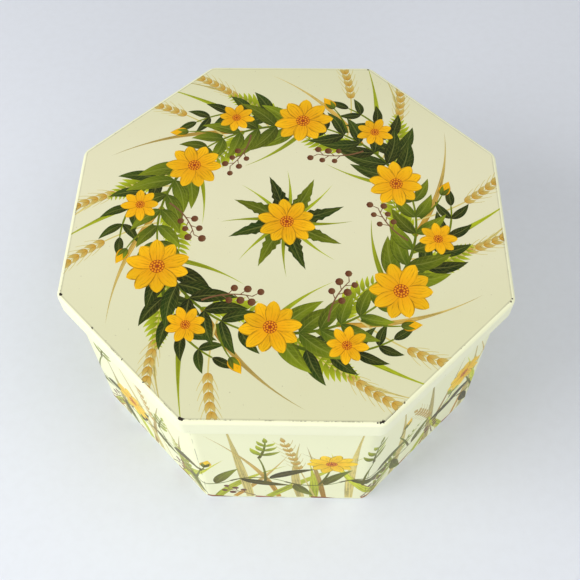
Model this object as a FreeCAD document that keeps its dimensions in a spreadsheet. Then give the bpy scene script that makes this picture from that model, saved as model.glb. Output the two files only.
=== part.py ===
import FreeCAD, Part
import math
import os
import Sketcher

# Octagonal slip-lid tin in folded sheet: a strip wall, a base panel and a pressed lid.
# Millimetres. +Z is up, the origin is the middle of the base on the surface it stands on,
# and -Y is the front. The wall's side seam is in the middle of the back.

# Driving sizes: alias, value and what it measures
SIZES = [
    ("wall_across_flats", 143.4, "wall, outside, flat to flat"),
    ("wall_height", 79.1, "surface to the top of the wall's rim"),
    ("sheet_gauge", 0.3, "thickness of the sheet"),
    ("fold_corner_radius", 2.1, "plan radius left at a corner inside the deepest fold"),
    ("rim_curl_width", 2.0, "curl along the top of the wall, outside"),
    ("base_hem_return", 1.35, "wall's lower edge, folded back over the foot of the base"),
    ("base_foot_radius", 0.3, "inside radius where the base's flange turns in to its foot"),
    ("base_flange_flat", 1.4, "straight stretch of the base's flange between its bends"),
    ("base_shoulder_radius", 0.9, "outside radius where the base panel turns down to its flange"),
    ("base_panel_inset", 9.0, "wall's outer face to the foot of the raised middle of the base"),
    ("base_panel_rise", 0.6, "height that the middle of the base is pressed up"),
    ("base_panel_corner", 4.0, "plan corner radius of the raised middle of the base"),
    ("seam_play", 0.1, "gap between folded layers"),
    ("side_seam_width", 5.0, "lock seam, fold to fold"),
    ("side_seam_notch", 1.0, "height left free above and below the lock seam"),
    ("lid_curl_width", 2.8, "curl along the lower edge of the lid, outside"),
    ("lid_play", 0.5, "gap between the lid's curl and the wall"),
    ("lid_seat_gap", 0.1, "gap between the lid's panel and the wall's rim"),
    ("lid_depth", 9.0, "top of the lid to the lower edge of its skirt"),
    ("lid_edge_radius", 1.2, "outside radius of the bend from panel to skirt"),
]

# Counts and angles in degrees
SIDES = 8
TURN = 360 / SIDES
BACK = 90
CURL_ANGLE = 290
JOGGLE_ANGLE = 60
PANEL_SLOPE = 45
# Share of the fold's radius by which the joggled end tucks under the other end's fold
JOGGLE_TUCK = 0.55

doc = FreeCAD.newDocument("octagonal_tin")
sizes = doc.addObject("Spreadsheet::Sheet", "sizes")
for row, (alias, size, meaning) in enumerate(SIZES, start=1):
    sizes.set(f"A{row}", str(size))
    sizes.setAlias(f"A{row}", alias)
    sizes.set(f"B{row}", meaning)
doc.recompute()

# Sizes that follow from the driving ones, as expressions on the sheet.
# PITCH is the step from one folded layer to the next, and FOLD the outside radius of a fold round one layer.
GAUGE = "sizes.sheet_gauge"
PITCH = f"({GAUGE} + sizes.seam_play)"
FOLD = f"({PITCH} + {GAUGE} / 2)"
FOLD_INSIDE = f"({PITCH} - {GAUGE} / 2)"
JOINT_STRIP = f"(3 * {GAUGE})"
CURL_TAIL = f"({GAUGE} / 2)"

# The base seam, from the wall's outer face inward: wall, flange and its bend, hem and fold
BASE_FOOT_BEND = f"(sizes.base_foot_radius + {GAUGE})"
BASE_SEAM = f"({PITCH} + {BASE_FOOT_BEND} + sizes.seam_play + sizes.base_hem_return + {FOLD})"

WALL = "(sizes.wall_across_flats / 2)"
WALL_CORNER = f"(sizes.fold_corner_radius + {BASE_SEAM})"
WALL_BEND_INSIDE = f"(sizes.base_foot_radius + {PITCH})"
WALL_BEND = f"({WALL_BEND_INSIDE} + {GAUGE})"

BASE_TOP = f"({PITCH} + {BASE_FOOT_BEND} + sizes.base_flange_flat + sizes.base_shoulder_radius)"
BASE_UNDERSIDE = f"({BASE_TOP} - {GAUGE})"
BASE_FLANGE = f"({WALL} - {PITCH})"
BASE_FLANGE_CORNER = f"({WALL_CORNER} - {PITCH})"
BASE_FOOT_END = f"({WALL} - {BASE_SEAM} + {FOLD})"

LID = f"({WALL} + sizes.lid_play + sizes.lid_curl_width)"
LID_CORNER = "(sizes.fold_corner_radius + sizes.lid_curl_width)"
LID_TOP = f"(sizes.wall_height + sizes.lid_seat_gap + {GAUGE})"

# The side seam: its height, the hooks, and the X coordinates of both ends of the strip
SEAM_LOW = f"({BASE_TOP} + sizes.side_seam_notch)"
SEAM_HIGH = "(sizes.wall_height - sizes.rim_curl_width - sizes.side_seam_notch)"
HOOK_LOW = f"({SEAM_LOW} + sizes.seam_play)"
HOOK_HEIGHT = f"({SEAM_HIGH} - {SEAM_LOW} - 2 * sizes.seam_play)"
HOOK_LENGTH = f"(sizes.side_seam_width - 2 * {FOLD})"
SEAM_LEFT = "(-sizes.side_seam_width / 2)"
OUTER_END = f"({SEAM_LEFT} + {FOLD} + {JOINT_STRIP})"
SLIT_END = f"({OUTER_END} - sizes.seam_play)"
JOGGLE_ARM = f"(3 * {GAUGE})"
JOGGLE_DROP = f"(3 * {PITCH})"
JOGGLE_FLAT = f"(({JOGGLE_DROP} - {JOGGLE_ARM} * (1 - cos({JOGGLE_ANGLE} deg))) / sin({JOGGLE_ANGLE} deg))"
JOGGLE_RUN = f"({JOGGLE_ARM} * sin({JOGGLE_ANGLE} deg) + {JOGGLE_FLAT} * cos({JOGGLE_ANGLE} deg))"
JOGGLE_END = f"({SEAM_LEFT} + {JOGGLE_TUCK} * {FOLD})"
INNER_END = f"({JOGGLE_END} - {JOGGLE_RUN} - {JOINT_STRIP})"


def value(expression):
    """The number that an expression on the sheet gives."""
    return float(sizes.evalExpression(expression))


def drive(sketch, constraint, expression):
    """Add a constraint whose size follows the sheet."""
    index = sketch.addConstraint(constraint)
    sketch.renameConstraint(index, f"size{index}")
    sketch.setExpression(f"Constraints.size{index}", expression)


def drive_coordinate(sketch, kind, geometry, end, expression):
    """Set one coordinate of a geometry's end, on either side of the sketch's origin."""
    amount = value(expression)
    if amount < 0:
        constraint = Sketcher.Constraint(kind, geometry, end, -1, 1, -amount)
        drive(sketch, constraint, f"-{expression}")
    else:
        constraint = Sketcher.Constraint(kind, -1, 1, geometry, end, amount)
        drive(sketch, constraint, expression)


def set_direction(sketch, line, degrees):
    """Fix a line's direction, in degrees from the sketch's X axis."""
    degrees = degrees % 360
    if degrees % 180 == 0:
        sketch.addConstraint(Sketcher.Constraint("Horizontal", line))
    elif degrees % 180 == 90:
        sketch.addConstraint(Sketcher.Constraint("Vertical", line))
    else:
        signed = degrees - 360 if degrees > 180 else degrees
        sketch.addConstraint(Sketcher.Constraint("Angle", line, math.radians(signed)))


def polar(centre, radius, degrees):
    angle = math.radians(degrees)
    return centre + FreeCAD.Vector(radius * math.cos(angle), radius * math.sin(angle), 0)


def add_line(sketch, start, end):
    return sketch.addGeometry(Part.LineSegment(start, end), False)


def add_arc(sketch, centre, radius, first, last):
    circle = Part.Circle(centre, FreeCAD.Vector(0, 0, 1), radius)
    return sketch.addGeometry(Part.ArcOfCircle(circle, math.radians(first), math.radians(last)), False)


def new_body(label):
    body = doc.addObject("PartDesign::Body", label)
    body.Label = label
    return body


def new_sketch(body, name, plane, offset="0"):
    """A sketch on one of the body's origin planes, moved along the plane's normal."""
    sketch = body.newObject("Sketcher::SketchObject", name)
    support = next(item for item in body.Origin.OriginFeatures if item.Role == plane)
    sketch.AttachmentSupport = (support, [""])
    sketch.MapMode = "FlatFace"
    sketch.setExpression(".AttachmentOffset.Base.z", offset)
    return sketch


def draw_octagon(sketch, half, corner, ends=None):
    """Octagon with rounded corners and a flat side at the back, from the middle of the back round to it.

    half is the distance from the axis to a side. ends, where given, are the X coordinates on the back side
    at which an open path starts and stops.
    """
    distance = value(half)
    radius = value(corner)
    origin = FreeCAD.Vector(0, 0, 0)
    start_x, stop_x = [value(end) for end in ends] if ends else (0, 0)
    point = FreeCAD.Vector(start_x, distance, 0)
    lines = []
    arcs = []
    for number in range(SIDES):
        facing = BACK + TURN * number
        centre = polar(origin, (distance - radius) / math.cos(math.radians(TURN / 2)), facing + TURN / 2)
        lines.append(add_line(sketch, point, polar(centre, radius, facing)))
        arcs.append(add_arc(sketch, centre, radius, facing, facing + TURN))
        point = polar(centre, radius, facing + TURN)
    lines.append(add_line(sketch, point, FreeCAD.Vector(stop_x, distance, 0)))

    for arc, before, after in zip(arcs, lines, lines[1:]):
        sketch.addConstraint(Sketcher.Constraint("Tangent", before, 2, arc, 1))
        sketch.addConstraint(Sketcher.Constraint("Tangent", arc, 2, after, 1))
        drive(sketch, Sketcher.Constraint("Radius", arc, radius), corner)
    for number, line in enumerate(lines):
        set_direction(sketch, line, BACK + 90 + TURN * number)
    for line in lines[:SIDES]:
        drive(sketch, Sketcher.Constraint("Distance", -1, 1, line, distance), half)
    if ends:
        drive(sketch, Sketcher.Constraint("Distance", -1, 1, lines[-1], distance), half)
        drive_coordinate(sketch, "DistanceX", lines[0], 1, ends[0])
        drive_coordinate(sketch, "DistanceX", lines[-1], 2, ends[1])
    else:
        sketch.addConstraint(Sketcher.Constraint("PointOnObject", lines[0], 1, -2))
        sketch.addConstraint(Sketcher.Constraint("Coincident", lines[-1], 2, lines[0], 1))


def draw_rectangle(sketch, low, extent):
    """Rectangle from its low corner and its size along X and Y."""
    x, y = [value(coordinate) for coordinate in low]
    width, height = [value(length) for length in extent]
    corners = [FreeCAD.Vector(*corner, 0) for corner in
               ((x, y), (x + width, y), (x + width, y + height), (x, y + height))]
    lines = [add_line(sketch, start, end) for start, end in zip(corners, corners[1:] + corners[:1])]
    for line, following, direction in zip(lines, lines[1:] + lines[:1], (0, 90, 180, 270)):
        sketch.addConstraint(Sketcher.Constraint("Coincident", line, 2, following, 1))
        set_direction(sketch, line, direction)
    drive(sketch, Sketcher.Constraint("Distance", lines[0], width), extent[0])
    drive(sketch, Sketcher.Constraint("Distance", lines[1], height), extent[1])
    drive_coordinate(sketch, "DistanceX", lines[0], 1, low[0])
    drive_coordinate(sketch, "DistanceY", lines[0], 1, low[1])


def draw_flat(sketch, start, heading, length):
    """Both edges of a flat stretch of sheet, where it ends and its heading there."""
    across = polar(FreeCAD.Vector(0, 0, 0), value(GAUGE), heading - 90)
    end = polar(start, value(length), heading)
    left = add_line(sketch, start, end)
    right = add_line(sketch, start + across, end + across)
    set_direction(sketch, left, heading)
    drive(sketch, Sketcher.Constraint("Distance", left, value(length)), length)
    return (left, right, 1, 2), end, heading


def draw_bend(sketch, start, heading, bend):
    """Both edges of a bend in the sheet, where it ends and its heading there."""
    inside, angle = bend
    side = 90 if angle > 0 else -90
    outside = f"({inside} + {GAUGE})"
    radii = (inside, outside) if angle > 0 else (outside, inside)
    centre = polar(start, value(radii[0]), heading + side)
    first, last = sorted((heading - side, heading - side + angle))
    left, right = [add_arc(sketch, centre, value(radius), first, last) for radius in radii]
    sketch.addConstraint(Sketcher.Constraint("Coincident", left, 3, right, 3))
    drive(sketch, Sketcher.Constraint("Radius", left, value(radii[0])), radii[0])
    drive(sketch, Sketcher.Constraint("Radius", right, value(radii[1])), radii[1])
    end = polar(centre, value(radii[0]), heading - side + angle)
    tail, head = (1, 2) if angle > 0 else (2, 1)
    return (left, right, tail, head), end, heading + angle


def draw_sheet(sketch, start, heading, steps):
    """Closed outline of one thickness of sheet that runs through flats and bends.

    start holds the coordinates of the sheet's left edge, seen along the run, and heading the run's first
    direction in degrees. The steps are flats, given by their length, with bends between them, given by their
    inside radius and an angle that is positive to the left.
    """
    point = FreeCAD.Vector(value(start[0]), value(start[1]), 0)
    runs = []
    for step in steps:
        draw = draw_flat if isinstance(step, str) else draw_bend
        run, point, heading = draw(sketch, point, heading, step)
        runs.append(run)
    for before, after in zip(runs, runs[1:]):
        for edge in (0, 1):
            sketch.addConstraint(Sketcher.Constraint("Tangent", before[edge], before[3], after[edge], after[2]))
    for (left, right, _, _), end in ((runs[0], 1), (runs[-1], 2)):
        sketch.addConstraint(Sketcher.Constraint("Parallel", left, right))
        corners = [sketch.getPoint(edge, end) for edge in (left, right)]
        cap = add_line(sketch, *corners)
        sketch.addConstraint(Sketcher.Constraint("Coincident", cap, 1, left, end))
        sketch.addConstraint(Sketcher.Constraint("Coincident", cap, 2, right, end))
        sketch.addConstraint(Sketcher.Constraint("Perpendicular", cap, left))
    drive_coordinate(sketch, "DistanceX", runs[0][0], 1, start[0])
    drive_coordinate(sketch, "DistanceY", runs[0][0], 1, start[1])


def sweep(body, name, profile, path):
    """Run a section of sheet along a path."""
    pipe = body.newObject("PartDesign::AdditivePipe", name)
    pipe.Profile = profile
    pipe.Spine = path
    pipe.Refine = True
    doc.recompute()


def pad(body, name, sketch, height, slope=0):
    """Build upward from a sketch, with sides that lean in by the slope."""
    feature = body.newObject("PartDesign::Pad", name)
    feature.Profile = sketch
    feature.setExpression("Length", height)
    feature.TaperAngle = -slope
    feature.Refine = True
    doc.recompute()


def pocket_up(body, name, sketch, height, slope=0):
    """Cut upward from a sketch, and stop if nothing was cut."""
    before = body.Shape.Volume
    feature = body.newObject("PartDesign::Pocket", name)
    feature.Profile = sketch
    feature.setExpression("Length", height)
    feature.TaperAngle = -slope
    feature.Reversed = True
    feature.Refine = True
    doc.recompute()
    if not body.Shape.Volume < before:
        raise RuntimeError(f"{name} cut nothing")


def make_wall():
    """Strip wall: base hem, wall and rim curl in one section, run round from one end to the other."""
    body = new_body("body_wall")
    path = new_sketch(body, "wall_path", "XY_Plane")
    draw_octagon(path, WALL, WALL_CORNER, ends=(SLIT_END, OUTER_END))
    section = new_sketch(body, "wall_section", "YZ_Plane", SLIT_END)
    hem_start = f"({BASE_FOOT_END} + sizes.base_hem_return)"
    hem_floor = f"({BASE_SEAM} - {FOLD} - {WALL_BEND})"
    wall_flat = f"(sizes.wall_height - sizes.rim_curl_width / 2 - {WALL_BEND})"
    rim_inside = f"(sizes.rim_curl_width / 2 - {GAUGE})"
    draw_sheet(section, (hem_start, f"(2 * {PITCH})"), 180, [
        "sizes.base_hem_return", (FOLD_INSIDE, 180), hem_floor, (WALL_BEND_INSIDE, 90),
        wall_flat, (rim_inside, CURL_ANGLE), CURL_TAIL,
    ])
    sweep(body, "wall_strip", section, path)
    make_side_seam(body)
    return body


def make_side_seam(body):
    """Lock seam: the inner end joggles in under the outer end, and each end is hooked round the other."""
    window = new_sketch(body, "seam_window", "XY_Plane", SEAM_LOW)
    depth = f"(2 * {GAUGE})"
    draw_rectangle(window, (INNER_END, f"({WALL} - {depth})"), (f"({SLIT_END} - {INNER_END})", f"(2 * {depth})"))
    pocket_up(body, "seam_opening", window, f"({SEAM_HIGH} - {SEAM_LOW})")

    outer_hook = new_sketch(body, "outer_hook_section", "XY_Plane", HOOK_LOW)
    draw_sheet(outer_hook, (OUTER_END, f"({WALL} - {GAUGE})"), 180, [
        JOINT_STRIP, (FOLD_INSIDE, 180), HOOK_LENGTH,
    ])
    pad(body, "outer_hook", outer_hook, HOOK_HEIGHT)

    inner_hook = new_sketch(body, "inner_hook_section", "XY_Plane", HOOK_LOW)
    lap = f"(-{SEAM_LEFT} - {FOLD} - {JOGGLE_END})"
    draw_sheet(inner_hook, (INNER_END, WALL), 0, [
        JOINT_STRIP, (GAUGE, -JOGGLE_ANGLE), JOGGLE_FLAT, (GAUGE, JOGGLE_ANGLE),
        lap, (FOLD_INSIDE, 180), HOOK_LENGTH,
    ])
    pad(body, "inner_hook", inner_hook, HOOK_HEIGHT)


def make_base():
    """Base panel: a flange turned down and in round a plate whose middle is pressed up."""
    body = new_body("base_panel")
    path = new_sketch(body, "base_path", "XY_Plane")
    draw_octagon(path, BASE_FLANGE, BASE_FLANGE_CORNER)
    section = new_sketch(body, "base_section", "YZ_Plane")
    foot = f"({BASE_FLANGE} - {BASE_FOOT_BEND} - {BASE_FOOT_END})"
    shoulder_inside = f"(sizes.base_shoulder_radius - {GAUGE})"
    draw_sheet(section, (BASE_FOOT_END, f"({PITCH} + {GAUGE})"), 0, [
        foot, ("sizes.base_foot_radius", 90), "sizes.base_flange_flat", (shoulder_inside, 90), JOINT_STRIP,
    ])
    sweep(body, "base_flange", section, path)

    plate = new_sketch(body, "plate_outline", "XY_Plane", BASE_UNDERSIDE)
    rim = f"(sizes.base_shoulder_radius + {JOINT_STRIP})"
    draw_octagon(plate, f"({BASE_FLANGE} - {rim})", f"({BASE_FLANGE_CORNER} - {rim})")
    pad(body, "base_plate", plate, GAUGE)

    foot_of_slope = f"({WALL} - sizes.base_panel_inset)"
    raised = new_sketch(body, "raised_outline", "XY_Plane", BASE_TOP)
    draw_octagon(raised, foot_of_slope, "sizes.base_panel_corner")
    pad(body, "raised_middle", raised, "sizes.base_panel_rise", PANEL_SLOPE)

    inside_slope = f"({GAUGE} * tan({PANEL_SLOPE / 2} deg))"
    hollow = new_sketch(body, "hollow_outline", "XY_Plane", BASE_UNDERSIDE)
    draw_octagon(hollow, f"({foot_of_slope} - {inside_slope})", f"(sizes.base_panel_corner - {inside_slope})")
    pocket_up(body, "hollow_underside", hollow, "sizes.base_panel_rise", PANEL_SLOPE)
    return body


def make_lid():
    """Lid: a flat panel, its bent edge, the skirt and the curl along the skirt's lower edge."""
    body = new_body("lid")
    path = new_sketch(body, "lid_path", "XY_Plane", LID_TOP)
    draw_octagon(path, LID, LID_CORNER)
    section = new_sketch(body, "lid_section", "YZ_Plane")
    rim = f"(sizes.lid_edge_radius + {JOINT_STRIP})"
    edge_inside = f"(sizes.lid_edge_radius - {GAUGE})"
    skirt = "(sizes.lid_depth - sizes.lid_edge_radius - sizes.lid_curl_width / 2)"
    curl_inside = f"(sizes.lid_curl_width / 2 - {GAUGE})"
    draw_sheet(section, (f"({LID} - {rim})", LID_TOP), 0, [
        JOINT_STRIP, (edge_inside, -90), skirt, (curl_inside, -CURL_ANGLE), CURL_TAIL,
    ])
    sweep(body, "lid_edge", section, path)

    panel = new_sketch(body, "panel_outline", "XY_Plane", f"({LID_TOP} - {GAUGE})")
    draw_octagon(panel, f"({LID} - {rim})", f"({LID_CORNER} - {rim})")
    pad(body, "lid_panel", panel, GAUGE)
    return body


def check_document(parts):
    """Stop if any object failed or a part isn't one valid solid."""
    for item in doc.Objects:
        if "Invalid" in item.State or "Error" in item.State:
            raise RuntimeError(f"{item.Label} failed: {item.State}")
    for part in parts:
        shape = part.Shape
        if shape.isNull() or not shape.isValid() or len(shape.Solids) != 1:
            raise RuntimeError(f"{part.Label} isn't one valid solid")


parts = [make_wall(), make_base(), make_lid()]
doc.recompute()
check_document(parts)
os.makedirs("parts", exist_ok=True)
for part in parts:
    part.Shape.exportStep(f"parts/{part.Label}.step")
    print(f"{part.Label}: {part.Shape.Volume:.1f} mm3 in {len(part.Shape.Faces)} faces")
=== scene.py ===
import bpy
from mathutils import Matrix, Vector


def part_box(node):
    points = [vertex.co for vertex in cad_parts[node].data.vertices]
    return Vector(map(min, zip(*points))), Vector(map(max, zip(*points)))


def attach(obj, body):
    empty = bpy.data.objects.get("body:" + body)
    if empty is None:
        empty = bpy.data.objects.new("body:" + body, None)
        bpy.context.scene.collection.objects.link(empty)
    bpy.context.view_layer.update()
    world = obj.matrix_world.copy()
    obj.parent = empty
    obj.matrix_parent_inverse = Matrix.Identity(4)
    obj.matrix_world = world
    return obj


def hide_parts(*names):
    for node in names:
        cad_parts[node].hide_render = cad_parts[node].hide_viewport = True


bl_info = {
    "name": "Octagonal keepsake tin",
    "version": (1, 0, 0),
    "blender": (4, 5, 0),
    "location": "View3D > Sidebar > Tin",
    "description": "Printed and lacquered octagonal tin with a slip-on lid, over its folded sheet parts",
    "category": "Add Mesh",
}

import math
import random

import bpy
from bpy.props import FloatProperty, FloatVectorProperty, IntProperty, PointerProperty
from mathutils import Matrix, Vector
from mathutils.geometry import delaunay_2d_cdt

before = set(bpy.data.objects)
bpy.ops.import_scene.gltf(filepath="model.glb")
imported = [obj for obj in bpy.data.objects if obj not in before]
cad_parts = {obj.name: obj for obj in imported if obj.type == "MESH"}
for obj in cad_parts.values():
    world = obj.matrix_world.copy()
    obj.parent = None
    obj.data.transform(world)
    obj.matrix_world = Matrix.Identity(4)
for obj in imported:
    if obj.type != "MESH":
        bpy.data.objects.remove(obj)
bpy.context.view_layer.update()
LID_LOW, LID_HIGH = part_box("lid")
WALL_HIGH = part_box("body_wall")[1]

MM = 0.001
SIDES = 8
TURN = 2 * math.pi / SIDES
BACK = math.pi / 2
QUARTER = math.pi / 2
CURL_ANGLE = math.radians(290)

# What a printed shape shows inside its outline
PLAIN, VEINED, LINED, STREAKED = 0, 1, 2, 3


def length_property(name, description, default):
    return FloatProperty(name=name, description=description, default=default, min=0.0, unit="LENGTH",
                         precision=5)


def light_of(channel):
    """The linear value of one channel of a screen colour, from 0 to 255."""
    share = channel / 255
    return share / 12.92 if share <= 0.04045 else ((share + 0.055) / 1.055) ** 2.4


def colour_property(name, description, red, green, blue):
    default = (light_of(red), light_of(green), light_of(blue))
    return FloatVectorProperty(name=name, description=description, subtype="COLOR", size=3, min=0.0, max=1.0,
                               default=default)


def power_property(name, description, default):
    return FloatProperty(name=name, description=description, default=default, min=0.0, unit="POWER")


class TinSizes(bpy.types.PropertyGroup):
    """Sizes of the folded sheet and of the printed film on it."""

    sheet_gauge: length_property("Sheet gauge", "Thickness of the sheet", 0.3 * MM)
    lid_half: length_property("Lid half width", "Axis to a side of the lid", LID_HIGH.x)
    lid_top: length_property("Lid top", "Surface below to the top of the lid", LID_HIGH.z)
    lid_depth: length_property("Lid depth", "Top of the lid to the edge of its skirt", LID_HIGH.z - LID_LOW.z)
    lid_corner: length_property("Lid corner", "Plan radius of the lid's corners", 4.9 * MM)
    lid_edge: length_property("Lid edge", "Outside radius of the bend from panel to skirt", 1.2 * MM)
    lid_curl: length_property("Lid curl", "Outside width of the curl under the skirt", 2.8 * MM)
    lid_tail: length_property("Curl tail", "Straight end of the curled edge", 0.15 * MM)
    wall_half: length_property("Wall half width", "Axis to a side of the wall", WALL_HIGH.x)
    wall_corner: length_property("Wall corner", "Plan radius of the wall's corners", 5.1 * MM)
    wall_bend: length_property("Wall bend", "Outside radius of the bend at the foot of the wall", 1.0 * MM)
    wall_curl: length_property("Wall curl", "Outside width of the curl along the wall's rim", 2.0 * MM)
    film_gap: length_property("Film gap", "Wall to the back of the printed film", 0.01 * MM)
    film_gauge: length_property("Film gauge", "Thickness of the printed film on the wall", 0.04 * MM)
    seam_start: length_property("Film start", "Middle of the back to where the print starts", 4.8 * MM)
    seam_stop: length_property("Film stop", "Middle of the back to where the print stops", 1.9 * MM)
    corner_steps: IntProperty(name="Corner steps", description="Facets round a corner", default=6, min=2)


class TinColours(bpy.types.PropertyGroup):
    """Colours of the lacquers, the inks and the metal."""

    cream: colour_property("Cream", "Ground of the lid's panel at its front and back", 218, 219, 183)
    # A paler cream that paints a sheen, a reflection of the room, across the middle of the lid's panel
    sheen_cream: colour_property("Sheen cream", "Ground of the lid's panel across its middle", 225, 224, 192)
    lid_ivory: colour_property("Lid ivory", "Plain lacquer on the lid's edge", 242, 245, 211)
    wall_ivory: colour_property("Wall ivory", "Plain lacquer on the wall", 239, 242, 204)
    tin: colour_property("Tinplate", "Bare metal inside", 212, 210, 204)
    chip: colour_property("Chip", "Old bare spots in the lacquer", 48, 42, 36)
    petal: colour_property("Petal", "Outer part of a petal", 244, 190, 14)
    petal_root: colour_property("Petal root", "Inner part of a petal", 232, 158, 6)
    primrose: colour_property("Primrose", "Petals on the wall", 252, 216, 40)
    heart: colour_property("Heart", "Middle of a flower", 158, 62, 14)
    pollen: colour_property("Pollen", "Dots round the middle of a flower", 236, 150, 20)
    leaf_dark: colour_property("Dark leaf", "Root of the darkest leaves", 20, 36, 8)
    leaf_deep: colour_property("Deep leaf", "Tip of the darkest leaves", 46, 68, 12)
    leaf_green: colour_property("Green leaf", "Root of the green leaves", 58, 78, 10)
    leaf_olive: colour_property("Olive leaf", "Tip of the green leaves", 118, 132, 18)
    moss_dark: colour_property("Dark moss", "Root of the darkest leaves on the wall", 50, 42, 2)
    moss: colour_property("Moss", "Tip of the darkest leaves on the wall and root of the others", 82, 76, 4)
    shoot: colour_property("Shoot", "Young stems and blades", 184, 196, 38)
    lime: colour_property("Lime", "Tip of the freshest blades", 218, 222, 58)
    straw: colour_property("Straw", "Dry blades and ears", 206, 192, 116)
    ochre: colour_property("Ochre", "Ripe ears and stems", 196, 146, 40)
    twig: colour_property("Twig", "Woody stems", 118, 82, 56)
    berry: colour_property("Berry", "Dark berries", 92, 34, 22)


class TinStage(bpy.types.PropertyGroup):
    """Floor, camera and lights."""

    floor_size: length_property("Floor size", "Width of the floor", 3.0)
    floor_colour: colour_property("Floor", "Colour of the floor", 222, 228, 240)
    lens: FloatProperty(name="Lens", description="Focal length on a frame 36 mm wide", default=52.07,
                        unit="CAMERA")
    camera_place: FloatVectorProperty(name="Camera", description="Place of the camera", subtype="TRANSLATION",
                                      default=(0.007035, -0.172275, 0.313020), precision=5)
    camera_tilt: FloatProperty(name="Tilt", description="Angle below the horizon", subtype="ANGLE",
                               default=math.radians(58.24))
    camera_yaw: FloatProperty(name="Yaw", description="Turn to the right of straight ahead", subtype="ANGLE",
                              default=math.radians(-2.15))
    camera_roll: FloatProperty(name="Roll", description="Turn about the line of sight", subtype="ANGLE",
                               default=math.radians(-1.22))
    window_power: power_property("Window", "Power of the large light on the left", 5.8)
    fill_power: power_property("Fill", "Power of the light from the upper right", 2.5)
    card_power: power_property("Card", "Power of the low light in front", 2.0)
    sky_strength: FloatProperty(name="Sky", description="Strength of the light from all round", default=0.43,
                                subtype="FACTOR")


def direction(angle):
    return Vector((math.cos(angle), math.sin(angle)))


def blended(first, second, share):
    return [a + (b - a) * share for a, b in zip(first, second)]


class RoundedOctagon:
    """The tin's plan: an octagon with rounded corners, walked anticlockwise from the middle of the back."""

    def __init__(self, half, corner):
        self.half = half
        self.corner = corner
        self.reach = (half - corner) * math.tan(TURN / 2)
        self.side = 2 * self.reach + corner * TURN
        self.length = SIDES * self.side

    def corner_middle(self, facing, way):
        """The middle of the arc at one end of a side."""
        return direction(facing) * (self.half - self.corner) + direction(facing + QUARTER) * self.reach * way

    def station(self, distance):
        """The point at a distance along the outline, and the way it faces."""
        number, along = divmod(distance + self.reach, self.side)
        facing = BACK + number * TURN
        if along <= 2 * self.reach:
            outward = direction(facing)
            return outward * self.half + direction(facing + QUARTER) * (along - self.reach), outward
        outward = direction(facing + (along - 2 * self.reach) / self.corner)
        return self.corner_middle(facing, 1) + outward * self.corner, outward

    def outward(self, point):
        """The way that the outline faces beside a point."""
        facing = BACK + TURN * round((math.atan2(point.y, point.x) - BACK) / TURN)
        offset = point.dot(direction(facing + QUARTER))
        if abs(offset) <= self.reach:
            return direction(facing)
        return (point - self.corner_middle(facing, math.copysign(1, offset))).normalized()

    def outline(self, inset, steps):
        """Corner points of the outline, moved in by the inset."""
        points = []
        for number in range(SIDES):
            facing = BACK + number * TURN
            middle = self.corner_middle(facing, 1)
            for step in range(steps + 1):
                points.append(middle + direction(facing + TURN * step / steps) * (self.corner - inset))
        return points

    def corner_stations(self, steps):
        """Distances along the outline at which its corners bend."""
        for number in range(SIDES):
            start = self.reach + number * self.side
            for step in range(steps + 1):
                yield start + self.corner * TURN * step / steps


# Width of a printed shape along its length, from 0 at the root to 1 at the tip

def lance(share):
    return math.sin(math.pi * share ** 0.72)


def toothed(share):
    return math.sin(math.pi * share ** 0.66) * (0.86 + 0.14 * math.cos(18 * math.pi * share))


def petal_shape(share):
    return min(1.0, math.sin(math.pi * (0.1 + 0.9 * share ** 1.25)) ** 0.62)


def blade(share):
    return (0.45 + 0.55 * math.sin(math.pi * min(1.0, 0.25 + share))) * (1 - share ** 3)


def stalk(share):
    return 1 - 0.55 * share


def bead(share):
    return math.sqrt(max(0.0, 1 - (2 * share - 1) ** 2))


# Half widths in millimetres: an end narrower than the first is a point, and places across a shape are
# measured by the second at least
POINTED, THINNEST = 0.001, 0.02


class Stroke:
    """One printed shape: a curved spine with a width along it, printed from a root ink to a tip ink."""

    def __init__(self, start, heading, length, width, shape, inks, inside=PLAIN, bend=0.0, points=12):
        self.inks = inks
        self.inside = inside
        self.spine = []
        self.sides = []
        place = Vector(start)
        for number in range(points + 1):
            share = number / points
            self.spine.append(place.copy())
            self.sides.append(direction(heading + bend * share + QUARTER) * shape(share) * width / 2)
            place += direction(heading + bend * (share + 0.5 / points)) * length / points

    def tip(self):
        return self.spine[-1]

    def at(self, share):
        """The spine's point and heading at a share of its length."""
        number = min(int(share * (len(self.spine) - 1)), len(self.spine) - 2)
        step = self.spine[number + 1] - self.spine[number]
        part = share * (len(self.spine) - 1) - number
        return self.spine[number] + step * part, math.atan2(step.y, step.x)

    def outline(self):
        """The shape's corners, anticlockwise."""
        right = [point - side for point, side in zip(self.spine, self.sides)]
        left = [point + side for point, side in zip(self.spine, self.sides)]
        if self.sides[0].length < POINTED:
            left = left[1:]
        if self.sides[-1].length < POINTED:
            left = left[:-1]
        return right + left[::-1]

    def local(self, point):
        """How far a point lies along the shape, from 0 to 1, and across it, from -1 to 1."""
        best = None
        last = len(self.spine) - 1
        for number in range(last):
            step = self.spine[number + 1] - self.spine[number]
            part = min(1.0, max(0.0, (point - self.spine[number]).dot(step) / step.length_squared))
            offset = point - self.spine[number] - step * part
            if best is None or offset.length_squared < best[0]:
                half = self.sides[number].length * (1 - part) + self.sides[number + 1].length * part
                across = step.cross(offset) / step.length / max(half, THINNEST)
                best = (offset.length_squared, (number + part) / last, across)
        return best[1], min(1.0, max(-1.0, best[2]))


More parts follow.
